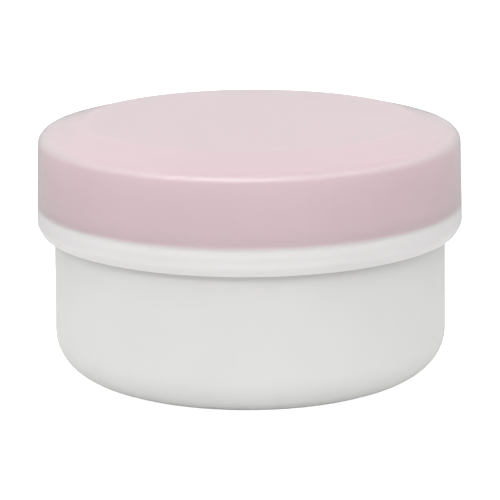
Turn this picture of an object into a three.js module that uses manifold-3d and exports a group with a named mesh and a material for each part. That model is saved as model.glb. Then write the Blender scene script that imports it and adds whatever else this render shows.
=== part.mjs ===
// Cosmetic cream jar, closed: a double-walled white jar with a two-layer screw lid.
// Millimetres, +Z up. The origin is the middle of the base, on the surface that the jar stands on,
// and +Z is the axis that everything is turned about.
import * as THREE from 'three';
import { mergeVertices } from 'three/addons/utils/BufferGeometryUtils.js';
import Module from 'manifold-3d';

const wasm = await Module();
wasm.setup();

// ---------------------------------------------------------------- driving dimensions

const clearance = 0.3;            // between any two pieces that seat on or in each other
const segments = 64;              // flats round each turned piece

// Outer shell of the jar
const body_radius = 28.2;         // at the top of the base rounding
const body_closing_in = 0.25;     // how much smaller the radius is at the shell's top edge
const body_height = 21.95;        // to the shell's top edge
const body_wall = 1.3;
const base_rounding = 5.8;        // the soft turn from the side into the base
const base_thickness = 1.8;
const foot_inner_radius = 17;     // the base stands on a flat ring from here to the rounding
const foot_recess = 0.5;          // the middle of the base is this far off the surface

// Inner cup with its threaded neck
const shoulder_step = 2.1;        // from the body's side in to the neck
const flange_thickness = 1.3;     // the collar that rests on the outer shell
const neck_height = 6.25;         // from the collar to the rim
const neck_wall = 1.6;
const cup_wall = 1.3;
const cup_draft = 0.5;            // the cup's inside is this much narrower at its floor
const cup_rounding = 3;           // where the cup's wall meets its floor
const cup_floor_thickness = 1.2;
const air_gap_below_cup = 1.6;
const spigot_depth = 3.4;         // the band below the collar that centres the cup in the shell
const rim_round = 0.4;

// Thread: one right-handed ridge on the neck and one inside the cap
const thread_lead = 3;            // rise for one turn
const thread_depth = 0.9;
const ridge_root_width = 1.3;
const ridge_crest_width = 0.7;
const ridge_margin = 0.2;         // from each ridge's ends to the edges of its wall
const ridge_fade = 0.12;          // turns over which a ridge's ends sink into the wall
const steps_per_turn = 48;

// Sealing disc
const disc_thickness = 0.7;
const disc_flange_width = 1.5;    // how far the disc's edge reaches over the rim
const disc_recess = 1.5;          // from the top of its edge down to its floor
const disc_wall = 0.8;
const tab_radius = 7;             // the half-round finger tab
const tab_thickness = 0.6;
const tab_lift = 0.4;             // the fingernail gap below the tab
const tab_hinge_width = 1;

// Lid
const liner_thickness = 1;
const cap_wall = 1.35;            // the pink cap's skirt at its lower edge
const cap_top_thickness = 1.85;
const shell_wall = 1.4;
const skirt_drop = 3.4;           // the outer shell reaches this far below the cap's lower edge
const skirt_play = 0.35;          // between the shell's thick skirt and the jar's collar
const lip_height = 2.1;           // the outside of the shell's lower edge curves in over this height
const lip_width = 1.2;            // and by this much
const lid_draft = THREE.MathUtils.degToRad(1.9);
const crown_slope = THREE.MathUtils.degToRad(14.8);
const crown_width = 6.9;          // from the flat top's edge out to the lid's side
const shoulder_round = 1.75;      // outside, where the sloping crown turns into the side
const plateau_round = 3;          // outside, where the flat top turns into the crown

// ---------------------------------------------------------------- places that follow from them

const body_top_radius = body_radius - body_closing_in;
const spigot_radius = body_top_radius - body_wall - clearance;
const neck_radius = body_radius - shoulder_step;
const mouth_radius = neck_radius - neck_wall;
const cap_inner_radius = neck_radius + thread_depth + clearance;

const flange_bottom = body_height + clearance;
const shoulder = flange_bottom + flange_thickness;
const rim = shoulder + neck_height;
const cup_bottom = base_thickness + air_gap_below_cup;
const cup_floor = cup_bottom + cup_floor_thickness;

const disc_bottom = rim + clearance;
const disc_top = disc_bottom + disc_thickness;
const liner_bottom = disc_top + clearance;
const liner_top = liner_bottom + liner_thickness;
const cap_underside = liner_top + clearance;
const cap_edge = shoulder + clearance;
const skirt_bottom = cap_edge - skirt_drop;
const skirt_inner_radius = body_top_radius + skirt_play;
const ledge = cap_edge - clearance;
const lid_top = cap_underside + cap_top_thickness + clearance + shell_wall;
const lid_radius = cap_inner_radius + cap_wall + Math.tan(lid_draft) * skirt_drop
  + (clearance + shell_wall) / Math.cos(lid_draft);
const plateau_radius = lid_radius - crown_width;

// ---------------------------------------------------------------- shapes

// An outline's corner, in radius and height. A round of the given radius can replace its point.
function corner(radius, height, round = 0) {
  return { at: new THREE.Vector2(radius, height), round };
}

// The points of the arc that rounds one corner between its neighbours.
function rounded(before, { at, round }, after, steps = 5) {
  const back = before.at.clone().sub(at).normalize();
  const onward = after.at.clone().sub(at).normalize();
  const half_angle = back.angleTo(onward) / 2;
  const middle = back.clone().add(onward).normalize();
  const centre = at.clone().addScaledVector(middle, round / Math.sin(half_angle));
  const start = at.clone().addScaledVector(back, round / Math.tan(half_angle)).sub(centre);
  const end = at.clone().addScaledVector(onward, round / Math.tan(half_angle)).sub(centre);
  const turn = Math.atan2(start.cross(end), start.dot(end));
  const points = [];
  for (let i = 0; i <= steps; i += 1) {
    points.push(start.clone().rotateAround(new THREE.Vector2(), turn * i / steps).add(centre));
  }
  return points;
}

// The outline through a list of corners, with the rounds put in.
function outline(corners) {
  return corners.flatMap((here, i) => {
    if (here.round === 0) return [here.at];
    return rounded(corners[i - 1], here, corners[i + 1]);
  });
}

// A solid turned about Z from an outline that runs anticlockwise from the axis back to the axis.
function turned(points) {
  const geometry = new THREE.LatheGeometry(points, segments);
  geometry.rotateX(Math.PI / 2);
  return geometry;
}

// A screw ridge: a straight bar wrapped round the axis from its upper end down. Its root lies a
// little inside the wall it stands on, and its ends sink into that wall. The crest points outwards
// on the neck and inwards in the cap.
function ridge(root_radius, crest_radius, bottom, turns, angle) {
  const buried = 0.25 * Math.sign(root_radius - crest_radius);
  const half_root = ridge_root_width / 2;
  const half_crest = ridge_crest_width / 2;
  const section = new THREE.Shape([
    new THREE.Vector2(0, -half_root),
    new THREE.Vector2(1, -half_crest),
    new THREE.Vector2(1, half_crest),
    new THREE.Vector2(0, half_root),
  ]);
  const steps = Math.round(turns * steps_per_turn);
  const bar = new THREE.ExtrudeGeometry(section, { depth: 1, steps, bevelEnabled: false });
  const place = bar.getAttribute('position');
  for (let i = 0; i < place.count; i += 1) {
    const along = 1 - place.getZ(i);
    const fade = Math.min(1, Math.min(along, 1 - along) * turns / ridge_fade);
    const crest = THREE.MathUtils.lerp(root_radius + buried / 2, crest_radius, fade);
    const radius = place.getX(i) > 0.5 ? crest : root_radius + buried;
    const turn = angle + 2 * Math.PI * turns * along;
    const height = bottom + thread_lead * turns * along + place.getY(i);
    place.setXYZ(i, radius * Math.cos(turn), radius * Math.sin(turn), height);
  }
  return crest_radius > root_radius ? bar : flipped(bar);
}

// The same surface with its faces turned round.
function flipped(geometry) {
  const place = geometry.getAttribute('position');
  for (let i = 0; i < place.count; i += 3) {
    const second = new THREE.Vector3().fromBufferAttribute(place, i + 1);
    const third = new THREE.Vector3().fromBufferAttribute(place, i + 2);
    place.setXYZ(i + 1, third.x, third.y, third.z);
    place.setXYZ(i + 2, second.x, second.y, second.z);
  }
  return geometry;
}

// ---------------------------------------------------------------- joining solids

function to_manifold(geometry) {
  const bare = geometry.clone();
  bare.deleteAttribute('normal');
  bare.deleteAttribute('uv');
  const merged = mergeVertices(bare, 1e-4);
  return new wasm.Manifold(new wasm.Mesh({
    numProp: 3,
    vertProperties: new Float32Array(merged.getAttribute('position').array),
    triVerts: new Uint32Array(merged.getIndex().array),
  }));
}

function from_manifold(solid) {
  const mesh = solid.getMesh();
  const geometry = new THREE.BufferGeometry();
  geometry.setAttribute('position', new THREE.BufferAttribute(mesh.vertProperties, 3));
  geometry.setIndex(new THREE.BufferAttribute(mesh.triVerts, 1));
  geometry.computeVertexNormals();
  return geometry;
}

function joined(...geometries) {
  const [first, ...others] = geometries.map(to_manifold);
  return from_manifold(others.reduce((whole, solid) => whole.add(solid), first));
}

// ---------------------------------------------------------------- jar

// Outer shell: a plain tub with a soft base rounding, open at the top.
function jar_outer_shell() {
  const inner_rounding = base_rounding - body_wall;
  return turned(outline([
    corner(0, foot_recess),
    corner(foot_inner_radius - foot_recess, foot_recess),
    corner(foot_inner_radius, 0),
    corner(body_radius, 0, base_rounding),
    corner(body_top_radius, body_height),
    corner(body_top_radius - body_wall, body_height),
    corner(body_radius - body_wall, base_thickness, inner_rounding),
    corner(0, base_thickness),
  ]));
}

// Inner cup: drops into the outer shell, rests on it by a collar and carries the threaded neck.
function jar_inner_cup() {
  const spigot_bottom = flange_bottom - spigot_depth;
  const floor_radius = mouth_radius - cup_draft;
  const cup = turned(outline([
    corner(0, cup_bottom),
    corner(floor_radius + cup_wall, cup_bottom, cup_rounding + cup_floor_thickness),
    corner(floor_radius + cup_wall, spigot_bottom - clearance),
    corner(spigot_radius, spigot_bottom),
    corner(spigot_radius, flange_bottom),
    corner(body_top_radius, flange_bottom),
    corner(body_top_radius, shoulder, rim_round),
    corner(neck_radius, shoulder),
    corner(neck_radius, rim, rim_round),
    corner(mouth_radius, rim, rim_round),
    corner(floor_radius, cup_floor, cup_rounding),
    corner(0, cup_floor),
  ]));
  const thread = ridge(neck_radius, neck_radius + thread_depth, neck_ridge_start, neck_ridge_turns, 0);
  return joined(cup, thread);
}

// The neck's ridge fills the neck from the collar to just below the rim's round.
const neck_ridge_start = shoulder + ridge_root_width / 2 + ridge_margin;
const neck_ridge_end = rim - rim_round - ridge_root_width / 2 - ridge_margin;
const neck_ridge_turns = (neck_ridge_end - neck_ridge_start) / thread_lead;

// ---------------------------------------------------------------- sealing disc

// Drop-in disc that covers the cream: its edge rests on the rim, its dish sits in the mouth, and a
// half-round tab on the dish is lifted with a fingernail to pull it out.
function sealing_disc() {
  const plug_radius = mouth_radius - clearance;
  const dish_bottom = disc_top - disc_recess - disc_thickness;
  const dish_top = disc_top - disc_recess;
  const disc_radius = plug_radius + disc_flange_width;
  const disc = turned(outline([
    corner(0, dish_bottom),
    corner(plug_radius, dish_bottom, rim_round),
    corner(plug_radius, disc_bottom),
    corner(disc_radius, disc_bottom),
    corner(disc_radius, disc_top),
    corner(plug_radius - disc_wall, disc_top),
    corner(plug_radius - disc_wall, dish_top),
    corner(0, dish_top),
  ]));
  const half_round = new THREE.Shape().absarc(0, 0, tab_radius, 0, Math.PI);
  const tab = new THREE.ExtrudeGeometry(half_round, {
    depth: tab_thickness, bevelEnabled: false, curveSegments: 16,
  });
  tab.translate(0, 0, dish_top + tab_lift);
  const web_height = disc_thickness / 2 + tab_lift + tab_thickness / 2;
  const web = new THREE.BoxGeometry(2 * tab_radius - tab_hinge_width, tab_hinge_width, web_height);
  web.translate(0, tab_hinge_width / 2, dish_top - disc_thickness / 2 + web_height / 2);
  return joined(disc, tab, web);
}

// ---------------------------------------------------------------- lid

// The two corners of the lid's crown, on the outside (depth 0) or on a face that runs parallel to
// it at a depth: the edge of the flat top, and the shoulder where the slope meets the side.
function crown_corners(depth) {
  const slope = Math.tan(crown_slope);
  const draft = Math.tan(lid_draft);
  const edge_radius = plateau_radius - depth * Math.tan(crown_slope / 2);
  const edge_height = lid_top - depth;
  const height_over_skirt = edge_height + slope * edge_radius - skirt_bottom;
  const radius = (side_radius(depth, skirt_bottom) - draft * height_over_skirt) / (1 - slope * draft);
  return {
    edge: [edge_radius, edge_height],
    shoulder: [radius, edge_height - slope * (radius - edge_radius)],
  };
}

// Radius of the lid's drafted side, or of a face at a depth below it, at a height.
function side_radius(depth, height) {
  return lid_radius - depth / Math.cos(lid_draft) - Math.tan(lid_draft) * (height - skirt_bottom);
}

// Outer shell of the lid: one milky translucent skin over crown and side. Its skirt hangs below the
// cap, is thicker than the rest so that its ledge snaps in under the cap's edge, and curves in below.
function lid_outer_shell() {
  const outside = crown_corners(0);
  const inside = crown_corners(shell_wall);
  const lip_top = skirt_bottom + lip_height;
  const lip_foot = side_radius(0, lip_top) - lip_width;
  const lip = new THREE.EllipseCurve(lip_foot, lip_top, lip_width, lip_height, -Math.PI / 2, 0);
  return turned([
    ...outline([
      corner(0, inside.edge[1]),
      corner(...inside.edge),
      corner(...inside.shoulder),
      corner(side_radius(shell_wall, ledge), ledge),
      corner(skirt_inner_radius, ledge, 0.2),
      corner(skirt_inner_radius, skirt_bottom, 0.3),
      corner(lip_foot, skirt_bottom),
    ]).slice(0, -1),
    ...lip.getPoints(5),
    ...outline([
      corner(side_radius(0, lip_top), lip_top),
      corner(...outside.shoulder, shoulder_round),
      corner(...outside.edge, plateau_round),
      corner(0, lid_top),
    ]).slice(1),
  ]);
}

// Inner cap: the pink screw cap under the outer shell, parallel to it on the outside and plain
// inside, with the thread's matching ridge. The ridge runs below the neck's, a flank gap away, so
// turning the lid home pulls it down.
function lid_inner_cap() {
  const outside = crown_corners(shell_wall + clearance);
  const foot_radius = side_radius(shell_wall + clearance, cap_edge);
  const cap = turned(outline([
    corner(0, cap_underside),
    corner(cap_inner_radius, cap_underside, rim_round),
    corner(cap_inner_radius, cap_edge),
    corner(foot_radius, cap_edge),
    corner(...outside.shoulder, rim_round),
    corner(...outside.edge),
    corner(0, lid_top - shell_wall - clearance),
  ]));
  const flank_slope = (ridge_root_width - ridge_crest_width) / 2 / thread_depth;
  const ridge_drop = ridge_crest_width + flank_slope * (thread_depth - clearance) + clearance;
  const start = cap_edge + ridge_root_width / 2 + ridge_margin;
  const turns_skipped = (start + ridge_drop - neck_ridge_start) / thread_lead;
  const thread = ridge(cap_inner_radius, neck_radius + clearance, start,
    neck_ridge_turns - turns_skipped, 2 * Math.PI * turns_skipped);
  return joined(cap, thread);
}

// Liner: a soft foam wad, loose in the cap, that is pressed onto the disc's edge.
function lid_liner() {
  const liner_radius = cap_inner_radius - clearance;
  return turned(outline([
    corner(0, liner_bottom),
    corner(liner_radius, liner_bottom),
    corner(liner_radius, liner_top),
    corner(0, liner_top),
  ]));
}

// ---------------------------------------------------------------- assembly

const white_plastic = { color: 0xdedddb, roughness: 0.38, metalness: 0 };
const inner_white = { color: 0xe6e5e2, roughness: 0.3, metalness: 0 };
const clear_white = { color: 0xe0dcdd, roughness: 0.5, metalness: 0 };
const pink_plastic = { color: 0xd9b6c1, roughness: 0.35, metalness: 0 };
const milky_plastic = { color: 0xe1d5d9, roughness: 0.15, metalness: 0 };
const white_foam = { color: 0xf0efec, roughness: 0.9, metalness: 0 };

function piece(name, geometry, look) {
  const mesh = new THREE.Mesh(geometry, new THREE.MeshStandardMaterial(look));
  mesh.name = name;
  return mesh;
}

const jar = new THREE.Group();
jar.add(piece('jar_outer_shell', jar_outer_shell(), white_plastic));
jar.add(piece('jar_inner_cup', jar_inner_cup(), inner_white));

const lid = new THREE.Group();
lid.add(piece('lid_liner', lid_liner(), white_foam));
lid.add(piece('lid_inner_cap', lid_inner_cap(), pink_plastic));
lid.add(piece('lid_outer_shell', lid_outer_shell(), milky_plastic));

const cream_jar = new THREE.Group();
cream_jar.add(jar);
cream_jar.add(piece('sealing_disc', sealing_disc(), clear_white));
cream_jar.add(lid);

export default cream_jar;
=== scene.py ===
import math

import bmesh
import bpy
from mathutils import Matrix, Vector


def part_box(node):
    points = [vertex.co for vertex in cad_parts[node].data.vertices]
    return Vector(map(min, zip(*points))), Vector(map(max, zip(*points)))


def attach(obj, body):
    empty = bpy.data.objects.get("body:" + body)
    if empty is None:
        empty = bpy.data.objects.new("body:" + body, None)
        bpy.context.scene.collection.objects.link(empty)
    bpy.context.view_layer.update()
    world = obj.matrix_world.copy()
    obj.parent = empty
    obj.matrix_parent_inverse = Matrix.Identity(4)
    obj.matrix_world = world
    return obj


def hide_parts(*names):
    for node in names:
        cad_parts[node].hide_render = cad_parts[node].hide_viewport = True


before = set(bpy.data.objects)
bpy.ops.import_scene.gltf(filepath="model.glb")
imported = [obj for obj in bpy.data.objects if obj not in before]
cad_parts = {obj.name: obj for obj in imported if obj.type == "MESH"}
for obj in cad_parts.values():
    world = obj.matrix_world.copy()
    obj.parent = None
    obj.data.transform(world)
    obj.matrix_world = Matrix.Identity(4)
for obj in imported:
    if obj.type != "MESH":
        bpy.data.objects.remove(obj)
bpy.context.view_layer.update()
mm = 0.001


# ---------------------------------------------------------------- outer shell of the jar
# The tub that is seen below the lid: one injection moulding in white polypropylene with a satin
# skin, turned round from the side into the base by a large soft round. It stands on a flat ring.

tub_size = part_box("jar_outer_shell")[1]
foot_widening = 0.15 * mm
tub_radius = tub_size[0] + foot_widening
tub_wall = 1.3 * mm
tub_floor = 1.8 * mm
base_round = 5.8 * mm
foot_ring_inside = 17 * mm
foot_recess = 0.5 * mm
collar_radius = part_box("jar_inner_cup")[1][0]
steps_round = 192
same_place = 0.001 * mm


def pick_points(piece, wanted):
    """Selects the points of the piece in edit mode whose place passes a test, and no others."""
    mesh = bmesh.from_edit_mesh(piece.data)
    for point in mesh.verts:
        point.select_set(wanted(point.co))
    mesh.select_flush_mode()
    bmesh.update_edit_mesh(piece.data)


def tidy_surface(piece):
    """Merges doubled points, turns the faces outwards and shades smooth but for real edges."""
    sharp_above = math.radians(35)
    bpy.ops.object.select_all(action="DESELECT")
    piece.select_set(True)
    bpy.context.view_layer.objects.active = piece
    bpy.ops.object.mode_set(mode="EDIT")
    bpy.ops.mesh.select_all(action="SELECT")
    bpy.ops.mesh.remove_doubles(threshold=same_place)
    bpy.ops.mesh.normals_make_consistent(inside=False)
    bpy.ops.object.mode_set(mode="OBJECT")
    bpy.ops.object.shade_smooth_by_angle(angle=sharp_above)


def turned(name, corners):
    """Draws a half outline corner by corner, rounds its corners and spins it about the jar's axis.
    A corner is its radius, its height and how far from it its round begins."""
    bpy.ops.object.select_all(action="DESELECT")
    here = Vector((corners[0][0], 0, corners[0][1]))
    bpy.ops.mesh.primitive_plane_add(size=mm, location=here)
    piece = bpy.context.object
    piece.name = name
    bpy.ops.object.mode_set(mode="EDIT")
    bpy.ops.mesh.merge(type="CENTER")
    for radius, height, _ in corners[1:]:
        there = Vector((radius, 0, height))
        bpy.ops.mesh.extrude_region_move(TRANSFORM_OT_translate={"value": there - here})
        here = there
    bpy.ops.object.mode_set(mode="OBJECT")
    bpy.ops.object.transform_apply(location=True, rotation=True, scale=True)
    bpy.ops.object.mode_set(mode="EDIT")
    for radius, height, reach in corners:
        if reach > 0:
            corner = Vector((radius, 0, height))
            pick_points(piece, lambda place: (place - corner).length < same_place)
            bpy.ops.mesh.bevel(offset=reach, segments=10 if reach > mm else 5, affect="VERTICES")
    bpy.ops.mesh.select_all(action="SELECT")
    bpy.ops.mesh.spin(steps=steps_round, angle=2 * math.pi, center=(0, 0, 0), axis=(0, 0, 1))
    bpy.ops.object.mode_set(mode="OBJECT")
    tidy_surface(piece)
    return piece


def moulded_plastic(name, colour, roughness, softness=0.0, mottle=0.015, grain=0.004):
    """A moulded plastic: its colour with the faint clouds of the melt's flow, a fine surface grain
    and a gloss that wanders a little. softness is the share of the light that goes under the surface."""
    material = bpy.data.materials.new(name)
    material.use_nodes = True
    nodes, links = material.node_tree.nodes, material.node_tree.links
    shader = nodes["Principled BSDF"]
    shader.inputs["IOR"].default_value = 1.49
    if softness > 0:
        shader.inputs["Subsurface Weight"].default_value = softness
        shader.inputs["Subsurface Radius"].default_value = (1.0, 0.9, 0.85)
        shader.inputs["Subsurface Scale"].default_value = 2 * mm
    place = nodes.new("ShaderNodeTexCoord")

    clouds = nodes.new("ShaderNodeTexNoise")
    clouds.inputs["Scale"].default_value = 70
    clouds.inputs["Detail"].default_value = 3
    clouds.inputs["Distortion"].default_value = 0.6
    links.new(place.outputs["Object"], clouds.inputs["Vector"])
    tint = nodes.new("ShaderNodeValToRGB")
    tint.color_ramp.elements[0].position = 0.3
    tint.color_ramp.elements[0].color = (*[c * (1 - mottle) for c in colour], 1)
    tint.color_ramp.elements[1].position = 0.7
    tint.color_ramp.elements[1].color = (*[min(1, c * (1 + mottle)) for c in colour], 1)
    links.new(clouds.outputs["Fac"], tint.inputs["Fac"])
    links.new(tint.outputs["Color"], shader.inputs["Base Color"])

    speck = nodes.new("ShaderNodeTexNoise")
    speck.inputs["Scale"].default_value = 2600
    speck.inputs["Detail"].default_value = 2
    links.new(place.outputs["Object"], speck.inputs["Vector"])
    gloss = nodes.new("ShaderNodeMapRange")
    gloss.inputs["To Min"].default_value = roughness * 0.88
    gloss.inputs["To Max"].default_value = roughness * 1.12
    links.new(speck.outputs["Fac"], gloss.inputs["Value"])
    links.new(gloss.outputs["Result"], shader.inputs["Roughness"])

    relief = nodes.new("ShaderNodeBump")
    relief.inputs["Strength"].default_value = 0.5
    relief.inputs["Distance"].default_value = grain * mm
    links.new(speck.outputs["Fac"], relief.inputs["Height"])
    links.new(relief.outputs["Normal"], shader.inputs["Normal"])
    return material


white_tub = turned("white_tub", [
    (0, foot_recess, 0),
    (foot_ring_inside - foot_recess, foot_recess, 0.2 * mm),
    (foot_ring_inside, 0, 0.2 * mm),
    (tub_radius, 0, base_round),
    (collar_radius, tub_size[2], 0.2 * mm),
    (collar_radius - tub_wall, tub_size[2], 0.2 * mm),
    (tub_radius - tub_wall, tub_floor, base_round - tub_wall),
    (0, tub_floor, 0),
])
white_tub.data.materials.append(
    moulded_plastic("satin_white_plastic", (0.64, 0.64, 0.627), roughness=0.42, softness=0.5))
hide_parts("jar_outer_shell")
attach(white_tub, "jar")


# ---------------------------------------------------------------- inner cup of the jar
# The cup that holds the cream, moulded in glossier white polypropylene. Its collar rests on the
# tub's edge, and its neck stands up from the collar with one turn and a bit of screw thread.

cup_low, cup_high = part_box("jar_inner_cup")
rim = cup_high[2]
shoulder = 23.55 * mm
collar_thickness = 1.3 * mm
collar_under = shoulder - collar_thickness
neck_radius = 26.1 * mm
neck_wall = 1.6 * mm
mouth_radius = neck_radius - neck_wall
cup_wall = 1.3 * mm
cup_taper = 0.5 * mm
cup_floor_radius = mouth_radius - cup_taper
cup_floor_thickness = 1.2 * mm
cup_inside_round = 3 * mm
fit_gap = 0.3 * mm
spigot_radius = collar_radius - tub_wall - fit_gap
spigot_height = 3.4 * mm
spigot_bottom = collar_under - spigot_height
spigot_chamfer = 0.3 * mm
edge_round = 0.35 * mm

thread_lead = 3 * mm
thread_depth = 0.9 * mm
ridge_root = 1.3 * mm
ridge_crest = 0.7 * mm
ridge_above_shoulder = 0.85 * mm
ridge_below_rim = 1.25 * mm
neck_ridge_start = shoulder + ridge_above_shoulder
neck_ridge_turns = (rim - ridge_below_rim - neck_ridge_start) / thread_lead


def thread_ridge(name, wall_radius, direction, start, turns, start_angle):
    """A screw ridge: its section is screwed up round the axis, and both ends sink into the wall.
    direction is 1 for a ridge that stands out from the wall and -1 for one that stands in."""
    buried = 0.25 * mm
    fade_length = 5 * mm
    steps_per_turn = 160
    height = thread_depth + buried
    middle = wall_radius + direction * (height / 2 - buried)
    bpy.ops.object.select_all(action="DESELECT")
    bpy.ops.mesh.primitive_plane_add(size=1, rotation=(math.pi / 2, 0, 0), location=(middle, 0, start))
    piece = bpy.context.object
    piece.name = name
    piece.scale = (height, ridge_root, 1)
    bpy.ops.object.transform_apply(location=True, rotation=True, scale=True)
    bpy.ops.object.mode_set(mode="EDIT")
    pick_points(piece, lambda place: direction * (place.x - middle) > 0)
    bpy.ops.transform.resize(value=(1, 1, ridge_crest / ridge_root))
    bpy.ops.mesh.select_all(action="SELECT")
    bpy.ops.mesh.bevel(offset=0.15 * mm, segments=3, affect="VERTICES")
    bpy.ops.object.mode_set(mode="OBJECT")

    screw = piece.modifiers.new("screw", "SCREW")
    screw.angle = 2 * math.pi * turns
    screw.screw_offset = thread_lead * turns
    screw.steps = screw.render_steps = round(turns * steps_per_turn)
    bpy.ops.object.modifier_apply(modifier="screw")
    bpy.ops.object.mode_set(mode="EDIT")
    bpy.ops.mesh.select_all(action="SELECT")
    bpy.ops.mesh.fill_holes(sides=0)
    sink = thread_depth + 0.1 * mm
    for share in (0, 1):
        angle = 2 * math.pi * turns * share
        outwards = Vector((math.cos(angle), math.sin(angle), 0))
        across = Vector((-math.sin(angle), math.cos(angle), 0))
        level = start + thread_lead * turns * share
        pick_points(piece, lambda place: abs(place.dot(across)) < 0.05 * mm
                    and place.dot(outwards) > 0 and abs(place.z - level) < ridge_root)
        bpy.ops.transform.translate(
            value=-direction * sink * outwards,
            use_proportional_edit=True, proportional_edit_falloff="SMOOTH", proportional_size=fade_length)
    bpy.ops.object.mode_set(mode="OBJECT")
    piece.rotation_euler = (0, 0, start_angle)
    bpy.ops.object.transform_apply(location=True, rotation=True, scale=True)
    tidy_surface(piece)
    return piece


def weld_on(piece, part):
    """Joins a part to a piece as one moulding."""
    bpy.ops.object.select_all(action="DESELECT")
    bpy.context.view_layer.objects.active = piece
    union = piece.modifiers.new("weld", "BOOLEAN")
    union.operation = "UNION"
    union.solver = "EXACT"
    union.object = part
    bpy.ops.object.modifier_apply(modifier="weld")
    bpy.data.objects.remove(part)
    tidy_surface(piece)


threaded_cup = turned("threaded_cup", [
    (0, cup_low[2], 0),
    (cup_floor_radius + cup_wall, cup_low[2], cup_inside_round + cup_floor_thickness),
    (cup_floor_radius + cup_wall, spigot_bottom - spigot_chamfer, 0),
    (spigot_radius, spigot_bottom, 0.1 * mm),
    (spigot_radius, collar_under, 0),
    (collar_radius, collar_under, 0.15 * mm),
    (collar_radius, shoulder, edge_round),
    (neck_radius, shoulder, 0.2 * mm),
    (neck_radius, rim, edge_round),
    (mouth_radius, rim, edge_round),
    (cup_floor_radius, cup_low[2] + cup_floor_thickness, cup_inside_round),
    (0, cup_low[2] + cup_floor_thickness, 0),
])
weld_on(threaded_cup, thread_ridge(
    "neck_ridge", neck_radius, direction=1, start=neck_ridge_start,
    turns=neck_ridge_turns, start_angle=0))
threaded_cup.data.materials.append(
    moulded_plastic("gloss_white_plastic", (0.68, 0.68, 0.67), roughness=0.24, softness=0.3))
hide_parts("jar_inner_cup")
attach(threaded_cup, "jar")


# ---------------------------------------------------------------- sealing disc
# A thin drop-in disc of soft natural polyethylene that covers the cream. Its edge lies on the rim,
# its dish sits in the mouth, and a half-round tab on a web is lifted with a fingernail.

disc_low, disc_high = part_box("sealing_disc")
disc_thickness = 0.7 * mm
dish_top = disc_low[2] + disc_thickness
plug_radius = mouth_radius - fit_gap
plug_wall = 0.8 * mm
tab_radius = 7 * mm
tab_thickness = 0.6 * mm
tab_gap = 0.4 * mm
tab_bottom = dish_top + tab_gap
web_width = 1 * mm

drop_in_disc = turned("drop_in_disc", [
    (0, disc_low[2], 0),
    (plug_radius, disc_low[2], 0.3 * mm),
    (plug_radius, disc_high[2] - disc_thickness, 0.1 * mm),
    (disc_high[0], disc_high[2] - disc_thickness, 0.2 * mm),
    (disc_high[0], disc_high[2], 0.2 * mm),
    (plug_radius - plug_wall, disc_high[2], 0.2 * mm),
    (plug_radius - plug_wall, dish_top, 0.3 * mm),
    (0, dish_top, 0),
])

bpy.ops.object.select_all(action="DESELECT")
bpy.ops.mesh.primitive_cylinder_add(
    vertices=96, radius=tab_radius, depth=tab_thickness, location=(0, 0, tab_bottom + tab_thickness / 2))
finger_tab = bpy.context.object
bpy.ops.object.transform_apply(location=True, rotation=True, scale=True)
bpy.ops.object.mode_set(mode="EDIT")
bpy.ops.mesh.select_all(action="SELECT")
bpy.ops.mesh.bisect(plane_co=(0, 0, 0), plane_no=(0, 1, 0), clear_inner=True, use_fill=True)
bpy.ops.mesh.select_all(action="SELECT")
bpy.ops.mesh.bevel(offset=0.15 * mm, segments=3, affect="EDGES")
bpy.ops.object.mode_set(mode="OBJECT")
weld_on(drop_in_disc, finger_tab)

web_top = tab_bottom + tab_thickness / 2
web_bottom = dish_top - disc_thickness / 2
bpy.ops.mesh.primitive_cube_add(size=1, location=(0, web_width / 2, (web_top + web_bottom) / 2))
tab_web = bpy.context.object
tab_web.scale = (2 * tab_radius - web_width, web_width, web_top - web_bottom)
bpy.ops.object.transform_apply(location=True, rotation=True, scale=True)
bpy.ops.object.mode_set(mode="EDIT")
bpy.ops.mesh.select_all(action="SELECT")
bpy.ops.mesh.bevel(offset=0.1 * mm, segments=2, affect="EDGES")
bpy.ops.object.mode_set(mode="OBJECT")
weld_on(drop_in_disc, tab_web)

drop_in_disc.data.materials.append(moulded_plastic(
    "natural_polyethylene", (0.80, 0.79, 0.785), roughness=0.48, softness=0.35, grain=0.008))
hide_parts("sealing_disc")
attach(drop_in_disc, "disc")


# ---------------------------------------------------------------- liner of the lid
# A wad die-cut from white closed-cell polyethylene foam. It lies loose in the cap and seals by
# being pressed on the disc's edge; its face shows the pores of the cells.

wad_low, wad_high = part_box("lid_liner")

foam_wad = turned("foam_wad", [
    (0, wad_low[2], 0),
    (wad_high[0], wad_low[2], 0.15 * mm),
    (wad_high[0], wad_high[2], 0.15 * mm),
    (0, wad_high[2], 0),
])


def closed_cell_foam(name, colour):
    """White foam whose skin shows cells a few tenths of a millimetre across."""
    material = moulded_plastic(name, colour, roughness=0.85, mottle=0.03)
    nodes, links = material.node_tree.nodes, material.node_tree.links
    place = next(node for node in nodes if node.type == "TEX_COORD")
    relief = next(node for node in nodes if node.type == "BUMP")
    cells = nodes.new("ShaderNodeTexVoronoi")
    cells.inputs["Scale"].default_value = 2500
    links.new(place.outputs["Object"], cells.inputs["Vector"])
    links.new(cells.outputs["Distance"], relief.inputs["Height"])
    relief.inputs["Strength"].default_value = 0.7
    relief.inputs["Distance"].default_value = 0.08 * mm
    return material


foam_wad.data.materials.append(closed_cell_foam("white_foam", (0.86, 0.86, 0.85)))
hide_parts("lid_liner")
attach(foam_wad, "liner")


# ---------------------------------------------------------------- pink inner cap
# The screw cap itself, moulded in pink polypropylene. It is pressed home in the milky skin, so the
# two touch all over; its edge stops short of the skin's, and inside is the ridge that grips the neck's.

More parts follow.
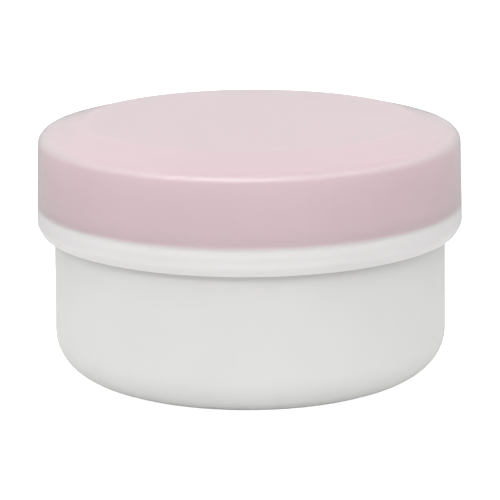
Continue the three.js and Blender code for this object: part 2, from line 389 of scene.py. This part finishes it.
cap_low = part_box("lid_inner_cap")[0]
skin_low, skin_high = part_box("lid_outer_shell")
skin_wall = 1.4 * mm
lid_top = skin_high[2]
skirt_drop = 0.15 * mm
skirt_bottom = skin_low[2] - skirt_drop
skirt_radius = 30.46 * mm
crown_width = 6.9 * mm
plateau_radius = skirt_radius - crown_width
crown_slope = math.tan(math.radians(14.8))
side_draft = math.tan(math.radians(1.9))
cap_inner_radius = neck_radius + thread_depth + fit_gap
cap_underside = wad_high[2] + fit_gap


def side_radius(depth, height):
    """Radius of the lid's drafted side, or of a face at a depth below it, at a height."""
    return skirt_radius - depth - side_draft * (height - skirt_bottom)


def crown_edge(depth):
    """Where the flat top ends and the crown begins to slope, at a depth below the outside."""
    return plateau_radius - depth * crown_slope / 2, lid_top - depth


def crown_shoulder(depth):
    """Where the sloping crown meets the side, at a depth below the outside."""
    edge_radius, edge_height = crown_edge(depth)
    drop_line = edge_height + crown_slope * edge_radius
    radius = side_radius(depth, skirt_bottom) - side_draft * (drop_line - skirt_bottom)
    radius /= 1 - crown_slope * side_draft
    return radius, drop_line - crown_slope * radius


# The cap's outside is sunk a hair into the skin, so that no film of air is left between them.
a_hair = 0.02 * mm
cap_depth = skin_wall - a_hair
pink_cap = turned("pink_cap", [
    (0, cap_underside, 0),
    (cap_inner_radius, cap_underside, edge_round),
    (cap_inner_radius, cap_low[2], 0.15 * mm),
    (side_radius(cap_depth, cap_low[2]), cap_low[2], 0.12 * mm),
    (*crown_shoulder(cap_depth), 0.5 * mm),
    (*crown_edge(cap_depth), 0.5 * mm),
    (0, lid_top - cap_depth, 0),
])

# The cap's ridge runs below the neck's, and their slanting flanks stay the fit's gap apart. Where the
# neck's ridge begins there is no room for it above the cap's edge, so it starts some way round.
flank_slope = (ridge_root - ridge_crest) / 2 / thread_depth
ridge_drop = ridge_crest + flank_slope * (thread_depth - fit_gap) + fit_gap
ridge_above_edge = 0.2 * mm
cap_ridge_start = cap_low[2] + ridge_root / 2 + ridge_above_edge
turns_skipped = (cap_ridge_start + ridge_drop - neck_ridge_start) / thread_lead
weld_on(pink_cap, thread_ridge(
    "cap_ridge", cap_inner_radius, direction=-1, start=cap_ridge_start,
    turns=neck_ridge_turns - turns_skipped, start_angle=2 * math.pi * turns_skipped))
pink_cap.data.materials.append(
    moulded_plastic("dusty_pink_plastic", (0.885, 0.65, 0.715), roughness=0.4))
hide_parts("lid_inner_cap")
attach(pink_cap, "lid")


# ---------------------------------------------------------------- milky outer skin of the lid
# The glossy shell over the pink cap, moulded in a milky, half-clear plastic. Its skirt hangs below
# the cap and is thick, so its ledge snaps in under the cap's edge and it shows as a white band.

ledge = cap_low[2] - a_hair
skirt_clearance = 0.17 * mm
skirt_inside = tub_size[0] + skirt_clearance
lip_height = 2.1 * mm
lip_width = 1.2 * mm
lip_chamfer = 0.59
lip_radius = side_radius(0, skirt_bottom + lip_height)
milk_above_edge = 0.35 * mm

milky_skin = turned("milky_skin", [
    (0, lid_top - skin_wall, 0),
    (*crown_edge(skin_wall), 0.5 * mm),
    (*crown_shoulder(skin_wall), 0.3 * mm),
    (side_radius(skin_wall, ledge), ledge, 0.1 * mm),
    (skirt_inside, ledge, 0.2 * mm),
    (skirt_inside, skirt_bottom, 0.3 * mm),
    (lip_radius - lip_chamfer * lip_width, skirt_bottom, 0.2 * mm),
    (lip_radius, skirt_bottom + lip_chamfer * lip_height, 0.3 * mm),
    (*crown_shoulder(0), 1.3 * mm),
    (*crown_edge(0), 0.5 * mm),
    (0, lid_top, 0),
])


def milky_clear_plastic(name, colour, roughness, clear_share):
    """A half-clear plastic: part of the light passes and the rest is scattered back by its milk."""
    material = moulded_plastic(name, colour, roughness, mottle=0.01, grain=0.002)
    material.node_tree.nodes["Principled BSDF"].inputs["Transmission Weight"].default_value = clear_share
    return material


def polished_milky_plastic(name, colour, roughness, clear_share, thick_clear_share, thick_below):
    """The same with a polished face. Below a height the wall is thick, and much less light passes."""
    fade = 0.4 * mm
    material = milky_clear_plastic(name, colour, roughness, clear_share)
    nodes, links = material.node_tree.nodes, material.node_tree.links
    shader = nodes["Principled BSDF"]
    shader.inputs["Coat Weight"].default_value = 0.6
    shader.inputs["Coat Roughness"].default_value = 0.03
    place = next(node for node in nodes if node.type == "TEX_COORD")
    height = nodes.new("ShaderNodeSeparateXYZ")
    links.new(place.outputs["Object"], height.inputs["Vector"])
    clearing = nodes.new("ShaderNodeMapRange")
    clearing.inputs["From Min"].default_value = thick_below - fade
    clearing.inputs["From Max"].default_value = thick_below + fade
    clearing.inputs["To Min"].default_value = thick_clear_share
    clearing.inputs["To Max"].default_value = clear_share
    links.new(height.outputs["Z"], clearing.inputs["Value"])
    links.new(clearing.outputs["Result"], shader.inputs["Transmission Weight"])
    return material


milky_skin.data.materials.append(polished_milky_plastic(
    "polished_milky_plastic", (0.98, 0.97, 0.965), roughness=0.34, clear_share=0.86,
    thick_clear_share=0.4, thick_below=cap_low[2] + milk_above_edge))
milky_skin.data.materials.append(milky_clear_plastic(
    "milky_plastic_inside", (0.99, 0.985, 0.985), roughness=0.34, clear_share=0.97))

# The faces that look inwards, nearly all of them pressed on the cap, are not polished.
bpy.ops.object.mode_set(mode="EDIT")
skin_mesh = bmesh.from_edit_mesh(milky_skin.data)
middle_of_lid = Vector((0, 0, wad_low[2]))
for face in skin_mesh.faces:
    face.select_set(face.normal.dot(face.calc_center_median() - middle_of_lid) < 0)
bmesh.update_edit_mesh(milky_skin.data)
milky_skin.active_material_index = 1
bpy.ops.object.material_slot_assign()
bpy.ops.object.mode_set(mode="OBJECT")
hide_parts("lid_outer_shell")
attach(milky_skin, "lid")


# ---------------------------------------------------------------- studio
# A plain table whose colour is a painted pool of light: white under the jar and greyer further out,
# as if a lamp lit it there. It glows for the lens only, so that the lens sees it white. The room's
# light is even and comes more from above; a long soft box hangs above the front, and two small ones are
# on the right.

table_paint = bpy.data.materials.new("white_table")
table_paint.use_nodes = True
table_nodes, table_links = table_paint.node_tree.nodes, table_paint.node_tree.links
table_shader = table_nodes["Principled BSDF"]
table_shader.inputs["Roughness"].default_value = 0.8
table_shader.inputs["Emission Color"].default_value = (1, 1, 1, 1)
table_place = table_nodes.new("ShaderNodeTexCoord")
from_jar = table_nodes.new("ShaderNodeVectorMath")
from_jar.operation = "LENGTH"
table_links.new(table_place.outputs["Object"], from_jar.inputs[0])
# Painted pool of light: the table's base colour is lighter under the jar and greyer further out, as if a
# lamp lit it there.
painted_light_pool = table_nodes.new("ShaderNodeMapRange")
painted_light_pool.inputs["From Min"].default_value = 50 * mm
painted_light_pool.inputs["From Max"].default_value = 110 * mm
painted_light_pool.inputs["To Min"].default_value = 0.80
painted_light_pool.inputs["To Max"].default_value = 0.45
table_links.new(from_jar.outputs["Value"], painted_light_pool.inputs["Value"])
table_links.new(painted_light_pool.outputs["Result"], table_shader.inputs["Base Color"])
seen_by = table_nodes.new("ShaderNodeLightPath")
table_links.new(seen_by.outputs["Is Camera Ray"], table_shader.inputs["Emission Strength"])

bpy.ops.object.select_all(action="DESELECT")
bpy.ops.mesh.primitive_plane_add(size=6, location=(0, 0, -0.01 * mm))
table = bpy.context.object
table.name = "table"
table.data.materials.append(table_paint)

brightest_way = (-0.06, -0.30, 0.95)
darkest_level = 0.434
brightest_level = 1.316
world = bpy.data.worlds.new("studio")
world.use_nodes = True
world_nodes, world_links = world.node_tree.nodes, world.node_tree.links
looking = world_nodes.new("ShaderNodeTexCoord")
from_above = world_nodes.new("ShaderNodeVectorMath")
from_above.operation = "DOT_PRODUCT"
from_above.inputs[1].default_value = brightest_way
room_light = world_nodes.new("ShaderNodeMapRange")
room_light.inputs["From Min"].default_value = -1
room_light.inputs["To Min"].default_value = darkest_level
room_light.inputs["To Max"].default_value = brightest_level
world_links.new(looking.outputs["Generated"], from_above.inputs[0])
world_links.new(from_above.outputs["Value"], room_light.inputs["Value"])
world_links.new(room_light.outputs["Result"], world_nodes["Background"].inputs["Strength"])
world_nodes["Background"].inputs["Color"].default_value = (1, 1, 1, 1)
bpy.context.scene.world = world


def soft_box(name, width, height, brightness, place):
    """A rectangular area light that faces the lid. brightness is what its face shows."""
    aim = Vector((0, 0, 30 * mm))
    light = bpy.data.lights.new(name, "AREA")
    light.shape = "RECTANGLE"
    light.size = width
    light.size_y = height
    light.energy = brightness * math.pi * width * height
    lamp = bpy.data.objects.new(name, light)
    bpy.context.collection.objects.link(lamp)
    facing = (aim - Vector(place)).to_track_quat("-Z", "Y")
    lamp.matrix_world = Matrix.Translation(place) @ facing.to_matrix().to_4x4()


soft_box("front_window", width=0.70, height=0.10, brightness=4.2, place=(-0.12, -0.50, 0.33))
side_window_distance = 0.53
side_window_level = 0.34
for side_angle in (57, 92):
    turn = math.radians(side_angle)
    x = side_window_distance * math.sin(turn)
    y = -side_window_distance * math.cos(turn)
    soft_box(f"side_window_{side_angle}", width=0.14, height=0.05, brightness=1.6,
             place=(x, y, side_window_level))


# ---------------------------------------------------------------- camera
# A long lens a little above the jar. It looks down on it and is rolled by a fraction of a degree.

camera_distance = 325.95 * mm
camera_height = 97.99 * mm
camera_tilt = math.radians(14.013)
camera_roll = math.radians(0.41)
lens = bpy.data.cameras.new("camera")
lens.sensor_width = 36
lens.lens = 167.79
lens.clip_start = 0.01
camera = bpy.data.objects.new("camera", lens)
bpy.context.collection.objects.link(camera)
camera.matrix_world = (
    Matrix.Translation((0, -camera_distance, camera_height))
    @ Matrix.Rotation(math.pi / 2 - camera_tilt, 4, "X")
    @ Matrix.Rotation(-camera_roll, 4, "Z"))
bpy.context.scene.camera = camera
bpy.context.scene.view_settings.view_transform = "Standard"
